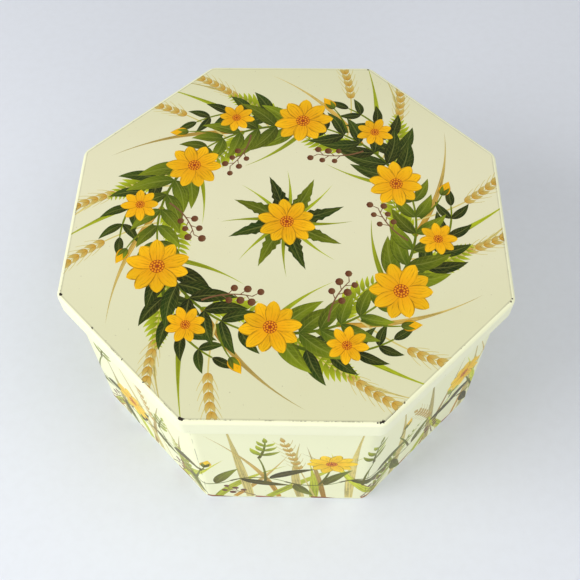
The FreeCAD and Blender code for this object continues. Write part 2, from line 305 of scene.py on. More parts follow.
class Sketchbook:
    """Draws plants as printed shapes, from the back to the front.

    Lengths are in millimetres, and headings, bends and turns in radians.
    """

    def __init__(self, colours, seed):
        self.chance = random.Random(seed)
        self.strokes = []
        self.dark = (colours.leaf_dark, colours.leaf_deep)
        self.green = (colours.leaf_green, colours.leaf_olive)
        self.young = (colours.leaf_olive, colours.shoot)
        self.fresh = (colours.shoot, colours.lime)
        self.dry = (colours.straw, colours.straw)
        self.ripe = (colours.ochre, colours.straw)
        self.woody = (colours.twig, colours.twig)
        self.fruit = (colours.berry, colours.twig)
        self.russet = (colours.heart, colours.twig)
        self.golden = (colours.petal_root, colours.petal)
        self.heart = (colours.heart, colours.heart)
        self.pollen = (colours.pollen, colours.pollen)

    def about(self, size, spread):
        return size * (1 + self.chance.uniform(-spread, spread))

    def lean(self, most):
        return self.chance.uniform(-most, most)

    def toned(self, inks, spread):
        """The same inks, a little paler or deeper than the last shape's."""
        strength = self.about(1, spread)
        return [[channel * strength for channel in ink] for ink in inks]

    def draw(self, *shape, **more):
        stroke = Stroke(*shape, **more)
        self.strokes.append(stroke)
        return stroke

    def leaf(self, root, heading, length, width, inks, bend=0.0, shape=lance):
        inks = self.toned(inks, 0.4)
        return self.draw(root, heading, length, width, shape, inks, inside=VEINED, bend=bend, points=16)

    def grass(self, root, heading, length, width, inks, bend):
        inks = self.toned(inks, 0.25)
        return self.draw(root, heading, length, width, blade, inks, inside=STREAKED, bend=bend, points=18)

    def stem(self, root, heading, length, width, inks, bend):
        return self.draw(root, heading, length, width, stalk, inks, bend=bend, points=18)

    def daisy(self, middle, radius, petals, turn):
        """A flower seen from above: two rounds of petals, a domed heart and a ring of pollen."""
        order = list(range(0, petals, 2)) + list(range(1, petals, 2))
        for number in order:
            heading = turn + 2 * math.pi * number / petals + self.lean(0.06)
            reach = self.about(radius, 0.07)
            root = middle + direction(heading) * radius * 0.12
            inks = self.toned(self.golden, 0.08)
            self.draw(root, heading, reach * 0.88, radius * 0.5, petal_shape, inks, inside=LINED,
                      bend=self.lean(0.14), points=14)
        self.disc(middle, radius * 0.24, self.heart, 16)
        for ring, count in ((0.19, 13), (0.1, 7)):
            for number in range(count):
                spot = middle + direction(turn + 2 * math.pi * number / count) * radius * ring
                self.disc(spot, radius * 0.036, self.pollen, 6)

    def disc(self, middle, radius, inks, points):
        self.draw(middle - Vector((radius, 0)), 0.0, 2 * radius, 2 * radius, bead, inks, points=points)

    def sprig(self, root, heading, length, bend, pairs, leaf_length, leaf_inks):
        """A stem with leaves on both sides that shorten towards its tip, and one leaf at the end."""
        stem = self.stem(root, heading, length, 1.3, self.green, bend)
        for number in range(pairs):
            share = (number + 0.7) / (pairs + 0.4)
            place, way = stem.at(share)
            size = leaf_length * (1 - 0.45 * share)
            for side in (1, -1):
                spread = side * self.about(0.95, 0.15)
                self.leaf(place, way + spread, self.about(size, 0.1), size * 0.34, leaf_inks, -side * 0.5)
        place, way = stem.at(1.0)
        self.leaf(place, way, leaf_length * 0.6, leaf_length * 0.21, leaf_inks, 0.2)
        return stem

    def fern(self, root, heading, length, bend, pairs, leaflet, inks):
        """A frond: a thin stem with narrow leaflets set close on both sides."""
        stem = self.stem(root, heading, length, 0.8, inks, bend)
        for number in range(pairs):
            share = (number + 1.5) / (pairs + 1.2)
            place, way = stem.at(share)
            size = leaflet * math.sin(math.pi * (0.22 + 0.74 * share))
            for side in (1, -1):
                self.draw(place, way + side * 1.02, size, size * 0.3, lance, inks, bend=-side * 0.35,
                          points=8)
        return stem

    def ear(self, root, heading, length, bend, grains):
        """A ripe ear of grass: a thin stem with grains in pairs near its tip and a fine bristle on each."""
        stem = self.stem(root, heading, length, 0.7, self.dry, bend)
        for number in range(grains):
            share = 0.55 + 0.45 * number / grains
            place, way = stem.at(share)
            for side in (1, -1):
                self.draw(place, way + side * 0.75, 7.0, 0.35, stalk, self.dry, bend=-side * 0.5, points=5)
                self.draw(place, way + side * 0.5, 4.2, 1.7, lance, self.ripe, inside=LINED, bend=-side * 0.3,
                          points=8)
        place, way = stem.at(1.0)
        self.draw(place, way, 4.6, 1.7, lance, self.ripe, inside=LINED, points=8)
        return stem

    def bud(self, root, heading, length, bend):
        """A closed flower on a short stem, held in two green leaflets."""
        stem = self.stem(root, heading, length, 1.0, self.green, bend)
        place, way = stem.at(1.0)
        self.draw(place, way, 7.0, 4.2, lance, self.golden, inside=LINED, points=10)
        for side in (1, -1):
            self.leaf(place, way + side * 0.42, 4.6, 1.7, self.green, -side * 0.3)
        return stem

    def berries(self, root, heading, length, bend, count):
        """A twig with small dark berries on short stalks."""
        stem = self.stem(root, heading, length, 0.7, self.woody, bend)
        for number in range(count):
            place, way = stem.at(0.4 + 0.6 * number / (count - 1))
            side = 1 if number % 2 else -1
            short_stalk = self.draw(place, way + side * 0.8, 3.2, 0.4, stalk, self.woody, points=4)
            self.disc(short_stalk.tip(), self.about(1.25, 0.15), self.fruit, 8)
        return stem


def draw_lid_print(colours):
    """A wreath of daisies, leafy sprigs, ferns and ears, with blades that sweep out to the lid's edge."""
    book = Sketchbook(colours, 11)
    ring = 44.0
    sprays = 6
    bases = [2 * math.pi * (number + 0.35) / sprays for number in range(sprays)]

    def spot(angle, out=0.0):
        return direction(angle) * (ring + out)

    for number, base in enumerate(bases):
        along = base + QUARTER
        book.grass(spot(base + 0.1, -4), along - 0.75, 54, 2.8, book.dry, 0.75)
        book.grass(spot(base + 0.4), along - 0.5, 46, 2.4, book.young, 0.35)
        book.grass(spot(base + 0.55), along + 0.1, 50, 2.0, book.ripe, 0.6)
        book.ear(spot(base + 0.3, -3), along - 0.9, 42, 0.6, 6)
        book.ear(spot(base + 0.7), along - 0.6, 36, 0.5, 5)
        book.grass(spot(base), along + 1.1, 30, 1.8, book.young, -0.5)
        book.fern(spot(base + 0.2), along - 0.75, 27, 0.6, 12, 7.0, book.young)
        book.fern(spot(base + 0.55), along + 1.3, 25, -0.6, 11, 6.5, book.young)
        book.sprig(spot(base + 0.2, 4), along - 0.25, 34, 0.95, 4, 15, book.dark)
        book.sprig(spot(base), along, 44, 0.95, 6, 19, book.green if number % 3 else book.dark)
        book.berries(spot(base + 0.5, -2), along + 1.65, 17, -0.7, 6)
        book.bud(spot(base + 0.72, 2), along - 0.25, 13, 0.5)
    for number, base in enumerate(bases):
        book.daisy(spot(base + 0.55, 8), 6.8, 8, base)
        book.daisy(spot(base + 0.05, 3 if number % 2 else -2), 10.8 if number % 2 else 9.8, 10, base)
    draw_rosette(book)
    return book.strokes


def draw_rosette(book):
    """One flower in the middle of the lid, with leaves and blades set round it."""
    middle = Vector((0.0, 0.0))
    leaves = 8
    for number in range(leaves):
        heading = 2 * math.pi * number / leaves + 0.2
        book.grass(middle, heading + 0.4, 23, 1.6, book.young, 0.4)
        book.leaf(middle, heading, 21, 6.4, book.green if number % 2 else book.dark, 0.25, toothed)
    book.daisy(middle, 10.0, 10, 0.4)


def draw_wall_print(colours, plan):
    """A border round the wall: tall blades, ears and ferns behind a leafy vine with flowers and berries."""
    book = Sketchbook(colours, 23)
    book.golden = (colours.petal, colours.primrose)
    book.dark = (colours.moss_dark, colours.moss)
    book.green = (colours.moss, colours.leaf_olive)
    waves = 3 * SIDES
    step = plan.length / MM / waves
    foot, vine_height, rise = 2.0, 19.0, 0.75

    def root(number, share, height=foot):
        return Vector(((number + share + book.lean(0.2)) * step, height))

    def upward(most):
        return QUARTER + book.lean(most)

    for number in range(waves):
        book.grass(root(number, 0.2), upward(0.4), book.about(62, 0.25), 3.4, book.dry, book.lean(0.4))
        book.grass(root(number, 0.9), upward(0.6), book.about(52, 0.3), 2.2, book.ripe, book.lean(0.5))
        book.grass(root(number, 0.7), upward(0.7), book.about(46, 0.3), 3.6, book.fresh, book.lean(0.6))
        if number % 3 == 0:
            book.ear(root(number, 0.5), upward(0.35), book.about(54, 0.15), book.lean(0.5), 6)
        elif number % 3 == 1:
            book.fern(root(number, 0.4), upward(0.6), book.about(34, 0.2), book.lean(0.6), 12, 7, book.young)
        book.grass(root(number, 0.6), book.lean(0.3), book.about(13, 0.3), 1.7, book.russet, book.lean(0.5))
    for number in range(waves):
        way = 1 if number % 2 else -1
        start = Vector((number * step, vine_height))
        vine = book.stem(start, way * rise, step * 1.1, 1.1, book.green, -2 * way * rise)
        for side in (1, -1):
            place, heading = vine.at(0.45 + 0.25 * side)
            inks = book.green if book.chance.random() < 0.6 else book.dark
            spread = side * book.about(0.85, 0.3)
            book.leaf(place, heading + spread, book.about(17, 0.2), 4.6, inks, -side * 0.5)
        if number % 2:
            book.berries(root(number, 0.5, foot + 1), upward(1.2), book.about(15, 0.2), book.lean(0.6), 5)
    for number in range(waves):
        height = 10 + 22 * book.chance.random()
        stem = book.stem(root(number, 0.5, 16), upward(0.5), height, 1.1, book.green, book.lean(0.5))
        if number % 4 == 0:
            book.daisy(stem.tip(), book.about(8.4, 0.12), 10, number)
        elif number % 2 == 0:
            book.bud(stem.tip(), upward(0.6), 5, 0.3)
        else:
            book.sprig(stem.tip(), upward(0.5), 14, book.lean(0.5), 3, 8, book.young)
    return book.strokes


def cut_print(border, strokes, creases=()):
    """Cut a bordered plane along every printed shape.

    Gives the points, the triangles, and for each triangle the shape that is printed on it, or None. Where
    shapes overlap, the one drawn last is on top. The creases are lines that the triangles also keep to.
    """
    points = list(border)
    faces = [list(range(len(border)))]
    edges = []
    for stroke in strokes:
        outline = stroke.outline()
        faces.append(list(range(len(points), len(points) + len(outline))))
        points += outline
        if stroke.inside == VEINED:
            spine = range(len(points), len(points) + len(stroke.spine))
            edges += list(zip(spine, spine[1:]))
            points += stroke.spine
    for crease in creases:
        edges.append((len(points), len(points) + 1))
        points += crease
    cut, _, triangles, _, _, within = delaunay_2d_cdt(points, edges, faces, 0, 0.001, True)
    kept = [(triangle, max(inside)) for triangle, inside in zip(triangles, within) if 0 in inside]
    used = sorted({corner for triangle, _ in kept for corner in triangle})
    renumbered = {corner: number for number, corner in enumerate(used)}
    patch = [[renumbered[corner] for corner in triangle] for triangle, _ in kept]
    return [cut[corner] for corner in used], patch, [strokes[top - 1] if top else None for _, top in kept]


def border_loops(triangles):
    """The outer edges of a patch of triangles, as closed loops of points."""
    following = {}
    edges = {(a, b) for t in triangles for a, b in zip(t, t[1:] + t[:1])}
    for start, end in edges:
        if (end, start) not in edges:
            following[start] = end
    loops = []
    while following:
        start = min(following)
        loop = [start]
        while following[loop[-1]] != start:
            loop.append(following[loop[-1]])
        for point in loop:
            del following[point]
        loops.append(loop)
    return loops


class SheetMesh:
    """Gathers the points, faces, facings, finishes and print of one piece."""

    def __init__(self):
        self.points = []
        self.faces = []
        self.facings = []
        self.finishes = []
        self.prints = []

    def add_point(self, x, y, z):
        self.points.append((x, y, z))
        return len(self.points) - 1

    def add_face(self, corners, facings, finish, printed=None):
        self.faces.append(corners)
        self.facings += facings
        self.finishes.append(finish)
        self.prints.append(printed)

    def build(self, name, materials):
        """Make the object, with its facings and its print stored on the corners of its faces."""
        mesh = bpy.data.meshes.new(name)
        mesh.from_pydata(self.points, [], self.faces)
        for material in materials:
            mesh.materials.append(material)
        mesh.polygons.foreach_set("material_index", self.finishes)
        mesh.polygons.foreach_set("use_smooth", [True] * len(self.faces))
        ink = []
        motif = []
        for corners, printed in zip(self.faces, self.prints):
            for number, _ in enumerate(corners):
                stroke, flat = printed if printed else (None, None)
                if stroke is None:
                    ink += (0.0, 0.0, 0.0, 0.0)
                    motif += (0.0, 0.0, 0.0)
                    continue
                along, across = stroke.local(flat[number])
                ink += (*blended(*stroke.inks, along), 1.0)
                motif += (along, across, stroke.inside)
        mesh.attributes.new("ink", "FLOAT_COLOR", "CORNER").data.foreach_set("color", ink)
        mesh.attributes.new("motif", "FLOAT_VECTOR", "CORNER").data.foreach_set("vector", motif)
        mesh.normals_split_custom_set(self.facings)
        if mesh.validate():
            raise RuntimeError(f"{name} has faces that can't be kept")
        piece = bpy.data.objects.new(name, mesh)
        bpy.context.scene.collection.objects.link(piece)
        return piece


def sheet_section(start, heading, steps, bend_step=math.radians(11)):
    """The outer face of a folded sheet in section, as points with the way that each one faces.

    The steps are flats, given as a length and no angle, and bends to the right, given as the outer face's
    radius and an angle.
    """
    point = Vector(start)
    section = [(point, direction(heading + QUARTER))]
    for size, angle in steps:
        if not angle:
            point = point + direction(heading) * size
            section.append((point, direction(heading + QUARTER)))
            continue
        middle = point - direction(heading + QUARTER) * size
        count = math.ceil(angle / bend_step)
        for number in range(1, count + 1):
            facing = direction(heading + QUARTER - angle * number / count)
            section.append((middle + facing * size, facing))
        heading -= angle
        point = section[-1][0]
    return section


# Places of the lid's finishes in its list of materials. The wall's film has the first alone.
PANEL, LACQUER, INSIDE = 0, 1, 2


def lid_mesh(sizes, strokes):
    """The lid as one closed sheet: printed panel, bent edge, skirt and curl, and the same again inside."""
    plan = RoundedOctagon(sizes.lid_half, sizes.lid_corner)
    border = [point / MM for point in plan.outline(sizes.lid_edge, sizes.corner_steps)]
    flat, triangles, owners = cut_print(border, strokes)
    sheet = SheetMesh()
    for point in flat:
        sheet.add_point(point.x * MM, point.y * MM, sizes.lid_top)
    up = (0.0, 0.0, 1.0)
    for triangle, owner in zip(triangles, owners):
        printed = (owner, [flat[corner] for corner in triangle])
        sheet.add_face(triangle, [up] * 3, PANEL, printed)

    skirt = sizes.lid_depth - sizes.lid_edge - sizes.lid_curl / 2
    start = (sizes.lid_half - sizes.lid_edge, sizes.lid_top)
    outside = sheet_section(start, 0.0, [
        (sizes.lid_edge, QUARTER), (skirt, 0), (sizes.lid_curl / 2, CURL_ANGLE), (sizes.lid_tail, 0),
    ])
    inside = [(point - facing * sizes.sheet_gauge, -facing) for point, facing in outside[::-1]]
    (loop,) = border_loops(triangles)
    outward = [plan.outward(flat[point] * MM) for point in loop]

    def ring_of(point):
        places = [flat[corner] * MM + way * (point.x - start[0]) for corner, way in zip(loop, outward)]
        return [sheet.add_point(place.x, place.y, point.y) for place in places]

    def join(ring, following, facing, next_facing, finish):
        for number, way in enumerate(outward):
            after = (number + 1) % len(loop)
            next_way = outward[after]
            corners = [ring[number], following[number], following[after], ring[after]]
            facings = [turned(facing, way), turned(next_facing, way), turned(next_facing, next_way),
                       turned(facing, next_way)]
            sheet.add_face(corners, facings, finish)

    end = direction(math.atan2(inside[0][1].y, inside[0][1].x) - QUARTER)
    runs = ((outside, LACQUER), ([(None, end), (inside[0][0], end)], INSIDE), (inside, INSIDE))
    ring = loop
    for run, finish in runs:
        for (_, facing), (point, next_facing) in zip(run, run[1:]):
            following = ring_of(point)
            join(ring, following, facing, next_facing, finish)
            ring = following
    middle = sheet.add_point(0.0, 0.0, sizes.lid_top - sizes.sheet_gauge)
    down = (0.0, 0.0, -1.0)
    for number, corner in enumerate(ring):
        sheet.add_face([middle, ring[(number + 1) % len(ring)], corner], [down] * 3, INSIDE)
    return sheet


def turned(facing, way):
    """A facing in section, turned to stand along the way that the outline faces."""
    return (way.x * facing.x, way.y * facing.x, facing.y)


def film_mesh(sizes, strokes):
    """The printed film on the wall: a closed thin sheet from one side of the seam round to the other."""
    plan = RoundedOctagon(sizes.wall_half, sizes.wall_corner)
    low = sizes.wall_bend / MM
    high = (WALL_HIGH.z - sizes.wall_curl / 2) / MM
    first = sizes.seam_start / MM
    last = (plan.length + sizes.seam_stop) / MM
    border = [Vector(corner) for corner in ((first, low), (last, low), (last, high), (first, high))]
    creases = []
    for distance in plan.corner_stations(sizes.corner_steps):
        creases.append([Vector((distance / MM, low)), Vector((distance / MM, high))])
    flat, triangles, owners = cut_print(border, strokes, creases)
    sheet = SheetMesh()
    places, ways = zip(*[plan.station(point.x * MM) for point in flat])

    def layer(proud):
        return [sheet.add_point(*(place + way * proud), point.y * MM)
                for point, place, way in zip(flat, places, ways)]

    layer(sizes.film_gap + sizes.film_gauge)
    back = layer(sizes.film_gap)
    for triangle, owner in zip(triangles, owners):
        printed = (owner, [flat[corner] for corner in triangle])
        sheet.add_face(triangle, [(*ways[corner], 0.0) for corner in triangle], PANEL, printed)
    for triangle in triangles:
        corners = triangle[::-1]
        facings = [(*-ways[corner], 0.0) for corner in corners]
        sheet.add_face([back[corner] for corner in corners], facings, PANEL)
    (loop,) = border_loops(triangles)
    for corner, after in zip(loop, loop[1:] + loop[:1]):
        step = flat[after] - flat[corner]
        facing = (0.0, 0.0, -math.copysign(1, step.x))
        if abs(step.y) > abs(step.x):
            along = Vector((-ways[corner].y, ways[corner].x)) * math.copysign(1, step.y)
            facing = (along.x, along.y, 0.0)
        sheet.add_face([after, corner, back[corner], back[after]], [facing] * 4, PANEL)
    return sheet


class Wire:
    """One output of a shader node. Arithmetic on it adds Math nodes beside it."""

    def __init__(self, finish, socket):
        self.finish = finish
        self.socket = socket

    def __add__(self, other):
        return self.finish.math("ADD", self, other)

    def __radd__(self, other):
        return self.finish.math("ADD", other, self)

    def __sub__(self, other):
        return self.finish.math("SUBTRACT", self, other)

    def __rsub__(self, other):
        return self.finish.math("SUBTRACT", other, self)

    def __mul__(self, other):
        return self.finish.math("MULTIPLY", self, other)

    def __rmul__(self, other):
        return self.finish.math("MULTIPLY", other, self)

    def __abs__(self):
        return self.finish.math("ABSOLUTE", self)


class Finish:
    """A material and the nodes that give its finish."""

    def __init__(self, name):
        self.material = bpy.data.materials.new(name)
        self.material.use_nodes = True
        self.tree = self.material.node_tree
        self.surface = self.tree.nodes["Principled BSDF"]

    def node(self, kind, settings=None, sockets=None, output=0):
        """Add a node: its settings come first, then the values or links of its sockets.

        Gives the output that is named or numbered, or all of them where that is None.
        """
        made = self.tree.nodes.new(kind)
        for name, setting in (settings or {}).items():
            setattr(made, name, setting)
        for key, given in (sockets or {}).items():
            self.feed(made.inputs[key], given)
        if output is None:
            return [Wire(self, socket) for socket in made.outputs]
        return Wire(self, made.outputs[output])

    def feed(self, socket, given):
        if isinstance(given, Wire):
            self.tree.links.new(given.socket, socket)
        else:
            socket.default_value = given

    def math(self, operation, *values):
        return self.node("ShaderNodeMath", {"operation": operation}, dict(enumerate(values)))

    def vector(self, operation, *values, output=0):
        return self.node("ShaderNodeVectorMath", {"operation": operation}, dict(enumerate(values)), output)

    def step(self, value, low, high):
        """0 below the low value, 1 above the high one, and smooth between."""
        settings = {"interpolation_type": "SMOOTHSTEP"}
        sockets = {"Value": value, "From Min": low, "From Max": high, "To Min": 0.0, "To Max": 1.0}
        return self.node("ShaderNodeMapRange", settings, sockets)

    def larger(self, *values):
        found = values[0]
        for value in values[1:]:
            found = self.math("MAXIMUM", found, value)
        return found

    def mix(self, share, first, second, blend="MIX"):
        settings = {"data_type": "RGBA", "blend_type": blend, "clamp_factor": True}
        return self.node("ShaderNodeMix", settings, {0: share, 6: opaque(first), 7: opaque(second)}, 2)

    def place(self):
        return self.node("ShaderNodeTexCoord", output="Object")

    def split(self, vector):
        return self.node("ShaderNodeSeparateXYZ", None, {0: vector}, None)

    def stretch(self, vector, scale, shift=(0.0, 0.0, 0.0)):
        return self.vector("MULTIPLY_ADD", vector, scale, shift)

    def far_from(self, vector, spot):
        return self.vector("DISTANCE", vector, spot, output="Value")

    def noise(self, vector, scale, detail=2.0, roughness=0.5):
        """Clouds from 0 to 1, with about as many of them in a metre as the scale says."""
        sockets = {"Vector": vector, "Scale": scale, "Detail": detail, "Roughness": roughness}
        return self.node("ShaderNodeTexNoise", None, sockets)

    def bump(self, height, strength, distance):
        sockets = {"Height": height, "Strength": strength, "Distance": distance}
        return self.node("ShaderNodeBump", None, sockets)

    def use(self, **sockets):
        """Feed the surface's sockets. A name's underscores stand for spaces."""
        for name, given in sockets.items():
            self.feed(self.surface.inputs[name.replace("_", " ")], given)
        return self.material


def opaque(colour):
    return colour if isinstance(colour, Wire) else (*colour, 1.0)


def octagon_reach(finish, place):
    """How far out a place lies from the axis, measured square to the nearest side."""
    x, y, _ = finish.split(place)
    slant = (abs(x) + abs(y)) * math.sqrt(0.5)
    return finish.larger(abs(x), abs(y), slant)


# Bare spots on the lid's edge: the facing in eighths of a turn from +X, whole for a side and half for a
# corner, and in millimetres the shift along the edge and the radius
CHIPS = (
    (-1.5, -0.2, 0.55), (-1.5, -1.0, 0.45), (-1.5, -1.7, 0.3), (-2.5, 0.0, 0.7), (-2.5, 0.6, 0.4),
    (-3.5, 0.1, 0.45), (-0.5, 0.3, 0.3), (-0.5, -0.9, 0.25), (-6.5, 0.2, 0.35),
    (-3, -13.0, 0.2), (-3, -6.0, 0.25), (-3, 2.5, 0.2), (-3, 13.0, 0.16), (-1, -21.5, 0.34), (-1, -27.0, 0.2),
)

# Half widths of the worn dashes along the lid's edge and of the faint dark line beside them, that line's
# distance in from the edge, how ragged the spots are, and how far the wear goes down the bend
DASH_WIDTH, EDGE_LINE_WIDTH, EDGE_LINE_INSET = 0.2 * MM, 0.4 * MM, 0.25 * MM
RAGGED, WEAR_DEPTH = 1.6 * MM, 0.8 * MM


def chips(finish, place, sizes):
    """Where the lid's lacquer is worn, in bare spots and in dashes, and where it is darker in a faint line
    along its bent edge.
    """
    x, y, z = finish.split(place)
    line = sizes.lid_half - sizes.lid_edge
    off_line = octagon_reach(finish, place) - line
    grain = finish.noise(place, 1500.0, 3.0, 0.7)
    patchy = finish.noise(place, 160.0, 2.0)
    front = finish.step(0 - y, 60 * MM, 70 * MM)
    right = finish.step(x, -30 * MM, 30 * MM)
    rubbed = grain * 0.5 + patchy * 0.5 + front * (0.06 + 0.05 * right)
    dashes = finish.step(rubbed, 0.585, 0.64) * (1 - finish.step(abs(off_line), 0.2 * DASH_WIDTH, DASH_WIDTH))
    # A faint dark line just inside the edge of the panel, mixed towards the chip colour in patches
    edge_line = (1 - finish.step(abs(off_line + EDGE_LINE_INSET), 0.125 * EDGE_LINE_WIDTH, EDGE_LINE_WIDTH)) * patchy
    worn = finish.larger(dashes * 0.7, edge_line * 0.34)
    torn = (grain + finish.noise(place, 700.0, 2.0) - 1) * RAGGED
    corner = (sizes.lid_half - sizes.lid_corner) / math.cos(TURN / 2) + sizes.lid_corner - sizes.lid_edge
    for facing, shift, radius in CHIPS:
        out = corner if facing % 1 else line
        middle = direction(facing * TURN) * out + direction(facing * TURN + QUARTER) * shift * MM
        ragged = finish.far_from(place, (middle.x, middle.y, sizes.lid_top)) + torn
        worn = finish.larger(worn, 1 - finish.step(ragged, radius * 0.7 * MM, radius * MM))
    return worn * finish.step(z, sizes.lid_top - 1.5 * WEAR_DEPTH, sizes.lid_top - WEAR_DEPTH)


# Half width of the hairlines that are rubbed along the wall's corners
HAIRLINE = 0.2 * MM


def crease_wear(finish, place):
    """Where the wall's lacquer is rubbed along its corners, in broken hairlines."""
    x, y, _ = finish.split(place)
    far = finish.larger(abs(x), abs(y))
    near = finish.math("MINIMUM", abs(x), abs(y))
    aside = abs(near * math.cos(TURN / 2) - far * math.sin(TURN / 2))
    grain = finish.noise(finish.stretch(place, (1.0, 1.0, 0.25)), 420.0, 3.0, 0.65)
    return finish.step(grain, 0.47, 0.6) * (1 - finish.step(aside, 0.25 * HAIRLINE, 1.1 * HAIRLINE))


# Colours that the inks lean to where they pool, where they lie thin and along a leaf's veins
POOLED_INK, THIN_INK, VEIN_INK = (0.03, 0.023, 0.004), (0.85, 0.75, 0.12), (0.55, 0.56, 0.14)
# Side veins on each half of a leaf
SIDE_VEINS = 9


def brushed(finish, place, motif, stretch, spread, scale, detail):
    """Noise that is drawn out along a printed shape and differs from one shape to the next."""
    shift = finish.stretch(place, (spread, spread, spread))
    return finish.noise(finish.stretch(motif, (*stretch, 0.0), shift), scale, detail)


def motif_colour(finish, place, ground):
    """The print's colour over a ground, in brushed washes.

    Petals have fine lines and dark rims, leaves a shaded half and pale veins, and blades dry streaks.
    """
    motif = finish.node("ShaderNodeAttribute", {"attribute_name": "motif"}, output="Vector")
    ink, cover = [finish.node("ShaderNodeAttribute", {"attribute_name": "ink"}, output=part)
                  for part in ("Color", "Alpha")]
    along, across, inside = finish.split(motif)
    veined, lined, streaked = [1 - finish.step(abs(inside - kind), 0.2, 0.4)
                               for kind in (VEINED, LINED, STREAKED)]
    slant = finish.math("FRACT", along * SIDE_VEINS - abs(across) * 1.4)
    side_veins = 1 - finish.step(abs(slant - 0.5), 0.03, 0.11)
    midrib = 1 - finish.step(abs(across), 0.03, 0.11)
    streaks = finish.math("SINE", across * 15 + along * 1.5)
    wash = finish.noise(place, 420.0, 3.0, 0.6)
    brush = brushed(finish, place, motif, (3.0, 7.0), 80.0, 1.0, 3.0)
    fibres = brushed(finish, place, motif, (2.0, 5.0), 30.0, 1.4, 4.0)
    shade = finish.step(across, -0.25, 0.35) * veined * 0.26
    rim = finish.step(abs(across), 0.78, 0.98) * (veined * 0.25 + lined * 0.5)
    lines = finish.step(streaks, 0.4, 0.95) * lined * 0.24
    dry_streaks = (finish.step(fibres, 0.42, 0.62) * 0.7 - 0.1) * streaked
    dark = shade + rim + lines + dry_streaks + (wash - 0.5) * 0.7 + (brush - 0.5) * 1.1
    toned = finish.mix(finish.step(dark, 0.0, 0.75), ink, finish.mix(0.6, ink, POOLED_INK))
    glow = finish.step(0.54 - brush, 0.0, 0.2) * 0.4
    toned = finish.mix(glow, toned, finish.mix(0.14, ink, THIN_INK))
    pale_veins = finish.larger(midrib * 0.6, side_veins * 0.26) * veined
    toned = finish.mix(pale_veins, toned, finish.mix(0.3, ink, VEIN_INK))
    return finish.mix(cover, ground, toned)


# Colours that age brings: yellowed lacquer, specks in it, dull tin and rust
YELLOWED, SPECK, DULL_TIN, RUST = (0.62, 0.5, 0.2), (0.2, 0.15, 0.08), (0.2, 0.2, 0.21), (0.16, 0.09, 0.045)


class Coat:
    """What one finish puts on a surface: its colour, roughness, metal and height."""

    def __init__(self, colour, roughness, metal, height):
        self.colour = colour
        self.roughness = roughness
        self.metal = metal
        self.height = height


def lacquer_coat(finish, place, ground, printed=False):
    """Lacquer that has yellowed a little in clouds, with a print on it where asked, and a few fine specks."""
    mottle = finish.noise(place, 38.0, 4.0, 0.6)
    specks = finish.step(finish.noise(place, 1400.0, 1.0), 0.785, 0.8)
    colour = finish.mix(finish.step(mottle, 0.45, 0.8) * 0.06, ground, YELLOWED)
    if printed:
        colour = motif_colour(finish, place, colour)
    colour = finish.mix(specks * 0.4, colour, SPECK)
    rub = finish.noise(place, 210.0, 3.0)
    sway = finish.noise(place, 26.0, 1.0)
    return Coat(colour, 0.24 + rub * 0.14, 0.0, sway * 2.0)


def tin_coat(finish, place, tin):
    """Bare tinplate: bright metal with faint rolling lines, dull clouds and a few brown spots."""
    rolled = finish.noise(finish.stretch(place, (1.0, 40.0, 1.0)), 90.0, 4.0, 0.6)
    cloud = finish.noise(place, 60.0, 4.0, 0.6)
    spots = finish.step(finish.noise(place, 700.0, 2.0), 0.66, 0.72) * finish.step(cloud, 0.5, 0.62)
    colour = finish.mix(finish.step(cloud, 0.35, 0.7) * 0.4, tin, blended(tin, DULL_TIN, 0.5))
    colour = finish.mix(spots * 0.7, colour, RUST)
    roughness = 0.26 + rolled * 0.16 + cloud * 0.12 + spots * 0.3
    return Coat(colour, roughness, 1 - spots * 0.7, rolled * 0.6 + cloud)


def worn_through(finish, coat, worn, chip):
    """Bare old metal where the lacquer is gone."""
    coat.colour = finish.mix(worn, coat.colour, chip)
    coat.roughness = coat.roughness + worn * 0.3
    coat.height = coat.height - worn * 0.1


# The varnish: its index of refraction where it is dull, what full gloss adds to that, and the weight and
# roughness of its top coat at full gloss
DULL_IOR, GLOSS_IOR, GLOSS_COAT, COAT_ROUGHNESS = 1.2, 0.25, 0.15, 0.12


def varnished(finish, coat, gloss):
    """The satin varnish over the lacquer and its print, from 0 where it is dull to 1 where it shines."""
    normal = finish.bump(coat.height, 0.08, 0.6 * MM)
    return finish.use(Base_Color=coat.colour, Roughness=coat.roughness, Normal=normal,
                      IOR=DULL_IOR + GLOSS_IOR * gloss, Coat_Weight=GLOSS_COAT * gloss,
                      Coat_Roughness=COAT_ROUGHNESS)


# Where the painted sheen across the panel's middle begins and is full, and where it starts to end and has
# ended, front to back
SHEEN_START, SHEEN_END = (-55 * MM, 5 * MM), (25 * MM, 80 * MM)


def panel_ground_with_sheen(finish, place, colours):
    """The panel's cream, with a painted sheen that makes it paler across its middle than at the front and the
    back.
    """
    _, y, _ = finish.split(place)
    # Painted sheen: the middle of the panel is mixed towards the paler cream, standing in for a reflection of
    # the room
    middle = finish.step(y, *SHEEN_START) * (1 - finish.step(y, *SHEEN_END))
    return finish.mix(middle, colours.cream, colours.sheen_cream)


def lid_lacquer(name, sizes, colours, printed, gloss):
    """The lid's lacquer, printed or plain, worn through at its edge."""
    finish = Finish(name)
    place = finish.place()
    ground = panel_ground_with_sheen(finish, place, colours) if printed else colours.lid_ivory
    coat = lacquer_coat(finish, place, ground, printed)
    worn_through(finish, coat, chips(finish, place, sizes), colours.chip)
    return varnished(finish, coat, gloss)


def film_lacquer(name, colours):
    """The printed film on the wall, rubbed along the corners."""
    finish = Finish(name)
    place = finish.place()
    coat = lacquer_coat(finish, place, colours.wall_ivory, printed=True)
    worn_through(finish, coat, crease_wear(finish, place) * 0.6, colours.chip)
    return varnished(finish, coat, gloss=0.0)


def tinplate(name, colours):
    """Bare tinplate all over."""
    finish = Finish(name)
    coat = tin_coat(finish, finish.place(), colours.tin)
    normal = finish.bump(coat.height, 0.08, 0.8 * MM)
    return finish.use(Base_Color=coat.colour, Roughness=coat.roughness, Metallic=coat.metal, Normal=normal)


